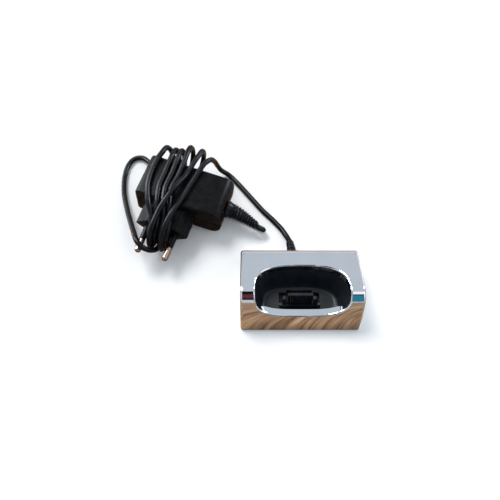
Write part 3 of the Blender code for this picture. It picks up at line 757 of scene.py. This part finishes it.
# At the opening's front the lip is a shelf, which fades out towards the sides between these two sines
SHELF_WIDTH = 3.7
SHELF_RISE = 0.1
SHELF_FADE = (0.25, 0.8)


def frontness(k):
    """1 at the middle of the opening's front, falling to 0 at its sides."""
    sine = math.sin(2 * math.pi * k / AROUND)
    return smoothstep(*SHELF_FADE, -sine)


def lip_drop(k):
    """How the lip's wall runs from the opening's edge: down the well, and inwards at the front."""
    f = frontness(k)
    return -LIP_DEPTH * (1 - f) * AXIS + f * (SHELF_WIDTH * ACROSS + SHELF_RISE * AXIS)


def ring(function):
    return [function(k) for k in range(AROUND)]


def edge_point(k):
    return on_shell(*opening(k))


def outwards(k):
    """Away from the well's middle, along the shell."""
    step = edge_point(k + 1) - edge_point(k - 1)
    out = step.cross(shell_normal(opening(k)[1])).normalized()
    return out if out.dot(edge_point(k) - on_shell(0.0, WIDEST_S)) > 0 else -out


def lip_edge(k, angle):
    """The rounded edge between the shell's face and the lip's wall."""
    normal, out = shell_normal(opening(k)[1]), outwards(k)
    centre = edge_point(k) + LIP_EDGE * out - LIP_EDGE * normal
    return centre + LIP_EDGE * (math.cos(angle) * normal - math.sin(angle) * out)


def lip_end(k):
    return lip_edge(k, 0.5 * math.pi) + lip_drop(k)


# Where the shell's rings lie: shares of the lip's wall, of the outer face and of the inner face, and
# degrees round the rounded edges of the lip and of the two ends
LIP_SHARES = (0.75, 0.5, 0.25)
LIP_EDGE_DEGREES = (90, 68, 45, 22)
FACE_SHARES = (0.0, 0.03, 0.07, 0.13, 0.2, 0.3, 0.4, 0.5, 0.56, 0.62, 0.68, 0.74, 0.8, 0.85, 0.9, 1.0)
END_DEGREES = (15, 30, 45, 60, 75, 90)
INSIDE_SHARES = (1.0, 0.7, 0.4, 0.15, 0.0)


def shell_rings():
    """Rings from the lip's lower edge, over the outside, round the foot and back up the inside."""
    rings = [ring(lip_end)]
    for t in LIP_SHARES:
        rings.append(ring(lambda k: lip_edge(k, 0.5 * math.pi) + t * lip_drop(k)))
    for degrees in LIP_EDGE_DEGREES:
        rings.append(ring(lambda k: lip_edge(k, math.radians(degrees))))
    flat_x = HALF_WIDTH - END_RADIUS
    for t in FACE_SHARES:

        def face(k):
            hole = edge_point(k) + LIP_EDGE * outwards(k)
            x0, s0 = opening(k, LIP_EDGE)
            x1, s1 = border(k, flat_x)
            share = across_face(s0, s1, t)
            point = on_shell(x0 + (x1 - x0) * share, s0 + (s1 - s0) * share)
            return hole if t == 0.0 else point

        rings.append(ring(face))
    for degrees in END_DEGREES:
        a = math.radians(degrees)

        def end(k):
            x, s = border(k, flat_x)
            if abs(x) < flat_x - 1e-6:
                return on_shell(x, s)
            inset = END_RADIUS * (1 - math.cos(a))
            return on_shell(math.copysign(flat_x + END_RADIUS * math.sin(a), x), s, inset)

        rings.append(ring(end))
    outer = rings[-1]
    foot = [Vector((p.x, p.y, FOOT_Z)) for p in outer]
    wall = SHELL_WALL
    inner_foot = [
        Vector(
            (
                max(-HALF_WIDTH + wall, min(HALF_WIDTH - wall, p.x)),
                max(FRONT_Y + wall, min(BACK_Y - wall, p.y)),
                FOOT_Z,
            )
        )
        for p in foot
    ]
    rings.append(foot)
    rings.append(inner_foot)
    for t in INSIDE_SHARES:

        def inside(k):
            x0, s0 = opening(k, LIP_WALL + LIP_EDGE)
            x1, s1 = border(k, HALF_WIDTH - wall)
            return on_shell(x0 + (x1 - x0) * t, s0 + (s1 - s0) * t, wall)

        rings.append(ring(inside))
    rings.append(ring(lambda k: lip_end(k) + LIP_WALL * outwards(k)))
    return rings


def make_shell():
    shell = stack_rings("chrome_shell_skin", shell_rings(), "chrome_plate", loop=True, sharp=32.0)
    # The face's own normals come from the outline, so that its mirror image is even.
    mesh = shell.data
    normals = []
    for polygon in mesh.polygons:
        for index in polygon.loop_indices:
            normals.append(face_normal(mesh.vertices[mesh.loops[index].vertex_index].co / MM, polygon))
    mesh.normals_split_custom_set(normals)
    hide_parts("chrome_shell")


# A face counts as the outer one where its normal leans little to the side (x squared) and agrees with
# the outline's normal, and where it lies this near the outline in millimetres
MOST_SIDE_LEAN = 0.05
LEAST_AGREEMENT = 0.985
ON_OUTLINE = 0.02


def face_normal(place, polygon):
    """The outline's normal on the outer face. Elsewhere a zero vector, which keeps Blender's own."""
    if abs(place.x) > HALF_WIDTH - END_RADIUS + 1e-3 or polygon.normal.x**2 > MOST_SIDE_LEAN:
        return Vector((0, 0, 0))
    flat = outline_normal(place.y, place.z)
    if flat is None or flat.dot(polygon.normal) < LEAST_AGREEMENT:
        return Vector((0, 0, 0))
    return flat


def outline_normal(y, z):
    """The outer face's normal at a point that lies on it."""
    best = min(OUTLINE_SAMPLES, key=lambda row: (row[1] - y) ** 2 + (row[2] - z) ** 2)
    step = PROFILE.length / OUTLINE_STEPS
    low, high = max(0.0, best[0] - step), min(PROFILE.length, best[0] + step)
    for _ in range(22):
        a, b = low + (high - low) / 3, high - (high - low) / 3
        if math.dist(PROFILE.at(a)[0], (y, z)) < math.dist(PROFILE.at(b)[0], (y, z)):
            high = b
        else:
            low = a
    place, out = PROFILE.at(0.5 * (low + high))
    return Vector((0.0, out[0], out[1])) if math.dist(place, (y, z)) < ON_OUTLINE else None


OUTLINE_STEPS = 240
OUTLINE_SAMPLES = [
    (PROFILE.length * i / OUTLINE_STEPS, *PROFILE.at(PROFILE.length * i / OUTLINE_STEPS)[0])
    for i in range(OUTLINE_STEPS + 1)
]


# ---------------------------------------------------------------- the bowl


POCKET = (
    (-12.4, -14.2),
    (12.4, -14.2),
    (12.4, -3.2),
    (8.0, -3.2),
    (8.0, -1.6),
    (-8.0, -1.6),
    (-8.0, -3.2),
    (-12.4, -3.2),
)
POCKET_MIDDLE = (0.0, -8.6)
FLOOR_MIDDLE_Y = -8.4
FLOOR_HALF_X = 20.5
FLOOR_BACK_Y = 8.2
FLOOR_FRONT_Y = 7.6
FLOOR_POWER = 2.6
RIM_DROP = 0.3
RIM_OVERLAP = 0.25
POCKET_STEP = 0.35
BOWL_THICKNESS = 1.0
BOWL_TO_SHELL = 0.3
BOWL_BOTTOM_Z = 5.7
BOWL_UNDER_WIDER = 1.2 * math.sqrt(2)


def pocket_edge(k):
    """Where a ray from the pocket's middle meets its outline."""
    turn = 2 * math.pi * k / AROUND
    dx, dy = math.cos(turn), math.sin(turn)
    best = 1e9
    for (ax, ay), (bx, by) in zip(POCKET, POCKET[1:] + POCKET[:1]):
        ex, ey = bx - ax, by - ay
        across = dx * ey - dy * ex
        if abs(across) < 1e-9:
            continue
        px, py = ax - POCKET_MIDDLE[0], ay - POCKET_MIDDLE[1]
        far = (px * ey - py * ex) / across
        share = (px * dy - py * dx) / across
        if far > 0 and -1e-6 <= share <= 1 + 1e-6:
            best = min(best, far)
    return Vector((POCKET_MIDDLE[0] + dx * best, POCKET_MIDDLE[1] + dy * best, BOWL_FLOOR_Z))


def bowl_floor(k):
    """Where the bowl's rounded wall reaches its floor."""
    turn = 2 * math.pi * k / AROUND
    cosine, sine = math.cos(turn), math.sin(turn)
    x = math.copysign(abs(cosine) ** (2 / FLOOR_POWER), cosine) * FLOOR_HALF_X
    reach = FLOOR_BACK_Y if sine > 0 else FLOOR_FRONT_Y
    y = math.copysign(abs(sine) ** (2 / FLOOR_POWER), sine) * reach
    return Vector((x, y + FLOOR_MIDDLE_Y, BOWL_FLOOR_Z))


def bowl_rim(k):
    return lip_end(k) - RIM_DROP * AXIS + RIM_OVERLAP * outwards(k)


def bowl_wall(k, t):
    """A rounded wall from the rim at t = 0 to the floor at t = 1."""
    rim, floor = bowl_rim(k), bowl_floor(k)
    drop = (rim.z - BOWL_FLOOR_Z) / AXIS.z
    corner = rim - drop * AXIS
    corner.z = BOWL_FLOOR_Z
    corner = corner.lerp(floor, 0.3)
    return (1 - t) ** 2 * rim + 2 * t * (1 - t) * corner + t**2 * floor


def make_bowl():
    rings = [ring(bowl_rim)]
    for i in range(1, 17):
        t = i / 16
        rings.append(ring(lambda k: bowl_wall(k, t)))
    for t in (0.35, 0.7, 0.93):
        rings.append(ring(lambda k: bowl_floor(k).lerp(pocket_edge(k), t)))
    rings.append(ring(pocket_edge))
    rings.append(ring(lambda k: pocket_edge(k) - Vector((0, 0, POCKET_STEP))))
    rings.append([Vector((p.x, p.y, BOWL_BOTTOM_Z)) for p in ring(pocket_edge)])
    middle = Vector((*POCKET_MIDDLE, 0))
    under = Vector((0, 0, BOWL_BOTTOM_Z - BOWL_FLOOR_Z))
    rings.append([p + under + BOWL_UNDER_WIDER * (p - middle).normalized() for p in ring(bowl_floor)])
    for t in (0.85, 0.65, 0.45, 0.25, 0.0):
        rings.append(ring(lambda k: bowl_wall(k, t) + BOWL_THICKNESS * outward_flat(k) + under * t))
    for step in rings[-6:]:
        for p in step:
            p.y = max(p.y, FRONT_Y + SHELL_WALL + BOWL_TO_SHELL)
    bowl = stack_rings("cradle_bowl_skin", rings, "bowl_plastic", loop=True, sharp=50.0)
    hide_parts("cradle_bowl")


def outward_flat(k):
    out = outwards(k)
    out.z = 0.0
    return out.normalized()


# ---------------------------------------------------------------- boots, power supply and pins


# Rings along a boot, for each rib and for its plain ends together
RIB_STATIONS = 12
PLAIN_STATIONS = 24
BOOT_STEP = 0.2
BOOT_SIDES = 32
RIBS_END = 0.95
BOOT_TIP_ROUNDING = 0.45


def ribbed_boot(name, route, radii, rib_count, rib_height, node, root_share, frame_matrix=None, collar=0.0):
    """A tapered strain relief along a bent route: a plain root, rounded ribs, then a plain tip."""
    path = smooth_route([Vector(p) for p in route], BOOT_STEP)
    stations = RIB_STATIONS * rib_count + PLAIN_STATIONS
    turns = [2 * math.pi * k / BOOT_SIDES for k in range(BOOT_SIDES)]
    rings = []
    for i in range(stations):
        place = i / (stations - 1)
        index = min(len(path) - 2, int(place * (len(path) - 1)))
        centre = path[round(place * (len(path) - 1))]
        along = (path[index + 1] - path[index]).normalized()
        side = along.cross(Vector((0, 0, 1))).normalized()
        above = side.cross(along)
        radius = radii[1] + (radii[0] - radii[1]) * (1 - place) ** 1.3
        ribbed = (place - root_share) / (RIBS_END - root_share)
        if 0.0 < ribbed < 1.0:
            wave = 0.5 - 0.5 * math.cos(2 * math.pi * ribbed * rib_count)
            radius += rib_height * (wave**0.6 - 0.35)
        if collar:
            radius += collar * (1 - smoothstep(root_share - 0.1, root_share - 0.02, place))
        radius -= BOOT_TIP_ROUNDING * smoothstep(0.985, 1.0, place)
        rings.append([centre + radius * (math.cos(t) * side + math.sin(t) * above) for t in turns])
    if frame_matrix is not None:
        rings = [[frame_matrix @ p for p in step] for step in rings]
    boot = stack_rings(name, rings, "lead_pvc", sharp=60.0)
    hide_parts(node)


def turned_piece(name, profile, place, turn, look, node, hollow=False):
    """A body turned from (radius, distance) points, in the supply's frame."""
    sides = 40
    turns = [2 * math.pi * k / sides for k in range(sides)]
    matrix = SUPPLY @ Matrix.Translation(Vector(place)) @ turn
    rings = [[matrix @ Vector((r * math.cos(t), r * math.sin(t), z)) for t in turns] for r, z in profile]
    item = stack_rings(name, rings, look, loop=hollow, sharp=40.0)
    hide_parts(node)


def arc(centre, radius, start, end, steps):
    angles = [math.radians(start + (end - start) * k / steps) for k in range(steps + 1)]
    return [(centre[0] + radius * math.cos(a), centre[1] + radius * math.sin(a)) for a in angles]


def half_case_outline(sign, inset):
    """The upper or lower half of the casing's end outline, as (x, z)."""
    low_x, high_x = CASE_X[0] + inset, CASE_X[1] - inset
    top = CASE_HALF_HEIGHT - inset
    seam = CASE_SEAM + 0.5 * inset
    left = max(CASE_LEFT_ROUNDING[0] - inset, CASE_LEFT_ROUNDING[1])
    right = max(CASE_RIGHT_ROUNDING[0] - inset, CASE_RIGHT_ROUNDING[1])
    edge = CASE_SEAM_ROUNDING
    points = arc((low_x + edge, seam + edge), edge, 270, 180, 3)
    points += arc((low_x + left, top - left), left, 180, 90, 8)
    points += arc((high_x - right, top - right), right, 90, 0, 16)
    points += arc((high_x - edge, seam + edge), edge, 0, -90, 3)
    return [(x, sign * z) for x, z in points]


def make_case(half, sign):
    rings = []
    stations = []
    for a in quarter(7):
        stations.append((CASE_Y[0] + CASE_EDGE * (1 - math.cos(a)), CASE_EDGE * (1 - math.sin(a))))
    for a in quarter(7):
        stations.append((CASE_Y[1] - CASE_EDGE * (1 - math.sin(a)), CASE_EDGE * (1 - math.cos(a))))
    for y, inset in stations:
        rings.append([SUPPLY @ Vector((x, y, z)) for x, z in half_case_outline(sign, inset)])
    case = stack_rings(f"supply_{half}_shell", rings, "supply_plastic", sharp=50.0)
    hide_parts(f"supply_{half}_case")


def quarter(steps):
    return [0.5 * math.pi * k / steps for k in range(steps + 1)]


def rounded_polygon(corners, radius, steps=4):
    """A polygon with every corner rounded."""
    points = []
    count = len(corners)
    for i in range(count):
        before, here, after = (Vector(corners[(i + d) % count]) for d in (-1, 0, 1))
        a, b = (before - here).normalized(), (after - here).normalized()
        cut_back = radius / math.tan(0.5 * a.angle(b))
        start, end = here + a * cut_back, here + b * cut_back
        for k in range(steps + 1):
            t = k / steps
            points.append((1 - t) ** 2 * start + 2 * t * (1 - t) * here + t**2 * end)
    return points


def make_plug_block():
    flat, wide, high = PLUG_FLAT, PLUG_HALF_WIDTH, PLUG_HALF_HEIGHT

    def outline(inset):
        corners = (
            (-flat, -high + inset),
            (flat, -high + inset),
            (wide - inset, 0.0),
            (flat, high - inset),
            (-flat, high - inset),
            (-wide + inset, 0.0),
        )
        return rounded_polygon(corners, PLUG_CORNER if inset < 0.9 * PLUG_EDGE else PLUG_FACE_CORNER)

    rings = []
    for a in quarter(5):
        depth = PLUG_EDGE * (1 - math.sin(a))
        inset = PLUG_EDGE * (1 - math.cos(a))
        rings.append([SUPPLY @ Vector((p.x, depth, p.y)) for p in outline(inset)])
    rings = rings[::-1]
    rings.append([SUPPLY @ Vector((p.x, CASE_Y[0] - 0.05, p.y)) for p in outline(0.0)])
    block = stack_rings("plug_block_body", rings, "supply_plastic", sharp=40.0)
    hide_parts("plug_block")


def make_pins():
    lean = math.atan((PIN_ROOT_X - PIN_TIP_X) / PIN_LENGTH)
    for side, sign in (("left", -1), ("right", 1)):
        turn = Matrix.Rotation(sign * -lean, 4, "Z") @ Matrix.Rotation(math.radians(90), 4, "X")
        place = (sign * PIN_ROOT_X, 0, 0)
        end = SLEEVE_LENGTH - 0.15
        sleeve = [
            (PIN_RADIUS, 0.05),
            (PIN_RADIUS, end - 0.2),
            (PIN_RADIUS - 0.2, end),
            (PIN_CORE_RADIUS + 0.1, end),
            (PIN_CORE_RADIUS + 0.1, 0.05),
        ]
        node = f"pin_sleeve_{side}"
        turned_piece(f"sleeve_{side}", sleeve, place, turn, "supply_plastic", node, hollow=True)
        metal = [
            (PIN_CORE_RADIUS, 0.1),
            (PIN_CORE_RADIUS, SLEEVE_LENGTH - 0.1),
            (PIN_RADIUS - 0.15, SLEEVE_LENGTH - 0.1),
            (PIN_RADIUS, SLEEVE_LENGTH + 0.05),
        ]
        flat, tip = PIN_RADIUS - PIN_TIP_RADIUS, PIN_LENGTH - PIN_TIP_RADIUS
        for a in quarter(7):
            metal.append((flat + PIN_TIP_RADIUS * math.cos(a), tip + PIN_TIP_RADIUS * math.sin(a)))
        turned_piece(f"prong_{side}", metal, place, turn, "pin_nickel", f"pin_{side}")


def make_supply():
    for half, sign in (("upper", 1), ("lower", -1)):
        make_case(half, sign)
    make_plug_block()
    make_pins()
    ribbed_boot(
        "supply_boot_body",
        ((34.8, 28.5, 1.8), (38.0, 28.4, 1.65), (46.0, 27.4, 0.9), (57.0, 25.0, -1.7)),
        (5.3, 2.45),
        10,
        0.85,
        "supply_boot",
        0.16,
        SUPPLY,
        collar=0.5,
    )
    ribbed_boot(
        "base_boot_body",
        ((-3.0, 22.0, 7.0), (-3.0, 24.6, 7.0), (-3.3, 29.0, 6.3), (-3.9, 34.7, 4.9)),
        (2.9, 2.05),
        4,
        0.7,
        "base_boot",
        0.22,
    )


# ---------------------------------------------------------------- floor, light and reflections


def stage_plane(name, centre, along, up, size, material):
    along, up = Vector(along).normalized() * size[0] / 2, Vector(up).normalized() * size[1] / 2
    centre = Vector(centre)
    corners = [centre - along - up, centre + along - up, centre + along + up, centre - along + up]
    mesh = bpy.data.meshes.new(name)
    mesh.from_pydata([p * MM for p in corners], [], [(0, 1, 2, 3)])
    mesh.materials.append(material)
    item = bpy.data.objects.new(name, mesh)
    bpy.context.scene.collection.objects.link(item)
    return item


def seen_in_mirrors_only(item):
    item.visible_camera = False
    item.visible_diffuse = False
    item.visible_shadow = False
    item.visible_transmission = False
    item.visible_volume_scatter = False


def glow_material(name, colour, strength=1.0):
    material = bpy.data.materials.new(name)
    material.use_nodes = True
    nodes = material.node_tree.nodes
    nodes.clear()
    output = nodes.new("ShaderNodeOutputMaterial")
    glow = nodes.new("ShaderNodeEmission")
    glow.inputs["Color"].default_value = (*colour, 1.0)
    glow.inputs["Strength"].default_value = strength
    material.node_tree.links.new(glow.outputs["Emission"], output.inputs["Surface"])
    return material


def wood_material():
    """The table that the chrome mirrors: tan boards with darker grain."""
    material = new_material("table_wood", (0.4, 0.24, 0.13), 0.5)
    nodes, links = material.node_tree.nodes, material.node_tree.links
    place = nodes.new("ShaderNodeTexCoord")
    mapping = nodes.new("ShaderNodeMapping")
    mapping.vector_type = "TEXTURE"
    mapping.inputs["Rotation"].default_value = (0, 0, math.radians(-63))
    mapping.inputs["Scale"].default_value = (20.0, 1.0, 1.0)
    links.new(place.outputs["Object"], mapping.inputs["Vector"])
    grain = nodes.new("ShaderNodeTexNoise")
    grain.inputs["Scale"].default_value = 230.0
    grain.inputs["Detail"].default_value = 6.0
    grain.inputs["Roughness"].default_value = 0.62
    links.new(mapping.outputs["Vector"], grain.inputs["Vector"])
    stops = (
        (0.33, (0.05, 0.02, 0.008)),
        (0.44, (0.24, 0.12, 0.05)),
        (0.55, (0.38, 0.22, 0.11)),
        (0.68, (0.54, 0.37, 0.23)),
    )
    colour_by(material, grain.outputs["Fac"], *stops)
    return material


FLOOR_SIZE = 6000.0
TABLE_SIZE = 900.0
CARD_DISTANCE = 600.0
FOLD_MIDDLE = (-10.8, 20.7)
WINDOW_CENTRE = Vector((-60.0, 40.0, 20.0))
WINDOW_DISTANCE = 1500.0


def reflection_card(name, start, end, low_x, high_x, colour):
    """A card for the shell to mirror, between two angles counted from the back over the top."""
    middle = math.radians(0.5 * (start + end))
    height = 2 * CARD_DISTANCE * math.tan(math.radians(0.5 * (end - start)))
    centre = (
        0.5 * (low_x + high_x),
        FOLD_MIDDLE[0] + CARD_DISTANCE * math.cos(middle),
        FOLD_MIDDLE[1] + CARD_DISTANCE * math.sin(middle),
    )
    up = (0.0, -math.sin(middle), math.cos(middle))
    card = stage_plane(name, centre, (1, 0, 0), up, (high_x - low_x, height), glow_material(name, colour))
    seen_in_mirrors_only(card)


def window_card(name, direction, size, strength):
    """A bright window far off to one side, which draws the highlights on the lead and the casing."""
    away = Vector(direction).normalized()
    across = away.cross(Vector((0, 0, 1))).normalized()
    card = stage_plane(
        name,
        WINDOW_CENTRE + WINDOW_DISTANCE * away,
        across,
        across.cross(away),
        size,
        glow_material(f"{name}_glow", (0.78, 0.89, 1.0), strength),
    )
    seen_in_mirrors_only(card)


def make_stage():
    floor_look = new_material("floor_look", (0.86, 0.86, 0.86), 0.75)
    grain = noise(floor_look, 8.0, 3.0)
    colour_by(floor_look, grain, (0.3, (0.85, 0.85, 0.85)), (0.7, (0.88, 0.88, 0.88)))
    stage_plane("floor", (0, 0, 0), (1, 0, 0), (0, 1, 0), (FLOOR_SIZE, FLOOR_SIZE), floor_look)
    table_size = (TABLE_SIZE, TABLE_SIZE)
    table = stage_plane("mirrored_table", (-20, 0, 0.1), (1, 0, 0), (0, 1, 0), table_size, wood_material())
    seen_in_mirrors_only(table)
    window_card("window_left", (-0.8, 0.5, 0.36), (520, 700), 26.0)
    window_card("window_right", (0.774, 0.5, 0.388), (170, 700), 40.0)
    reflection_card("card_back_dark", 1, 8, -2000, 2000, (0.03, 0.02, 0.015))
    reflection_card("card_back_white", 8, 27, -2000, 2000, (1.0, 1.0, 1.0))
    reflection_card("card_back_line", 27, 32, -2000, 300, (0.05, 0.05, 0.06))
    reflection_card("card_blue", 112, 176, 20, 80, (0.01, 0.02, 0.04))
    reflection_card("card_black", 88, 112, -260, -14, (0.006, 0.006, 0.008))
    reflection_card("card_maroon", 112, 145, -260, -14, (0.11, 0.03, 0.032))
    reflection_card("card_line", 145, 160, -260, -14, (0.008, 0.006, 0.008))
    reflection_card("card_white", 90, 112, 85, 420, (1.0, 1.0, 1.0))
    reflection_card("card_navy", 112, 122, 85, 420, (0.02, 0.05, 0.08))
    reflection_card("card_teal", 122, 178, 85, 420, (0.03, 0.2, 0.3))


def make_lights():
    world = bpy.data.worlds.new("studio")
    bpy.context.scene.world = world
    world.use_nodes = True
    background = world.node_tree.nodes["Background"]
    background.inputs["Color"].default_value = (0.52, 0.57, 0.63, 1.0)
    background.inputs["Strength"].default_value = 1.0
    for name, direction, power, spread_degrees, colour in (
        ("key", (-0.35, 0.42, 0.84), 2.1, 26, (1.0, 0.99, 0.97)),
        ("fill", (0.6, -0.35, 0.72), 0.5, 50, (1.0, 0.98, 0.95)),
    ):
        data = bpy.data.lights.new(name, "SUN")
        data.energy = power
        data.angle = math.radians(spread_degrees)
        data.color = colour
        light = bpy.data.objects.new(name, data)
        bpy.context.scene.collection.objects.link(light)
        light.rotation_euler = Vector(direction).to_track_quat("Z", "Y").to_euler()
    settings = bpy.context.scene.view_settings
    settings.view_transform = "Standard"
    settings.look = "None"


# ---------------------------------------------------------------- build


def lead_facts():
    pieces = ["base_boot_body", "supply_boot_body", "supply_upper_shell", "supply_lower_shell"]
    pieces += ["plug_block_body", "sleeve_left", "sleeve_right", "prong_left", "prong_right"]
    pieces += ["supply_board", "transformer", "mains_capacitor"]


make_camera()
dress_cad_nodes()
lead, lead_line = make_lead()
make_shell()
make_bowl()
make_supply()
lead_facts()
make_stage()
make_lights()
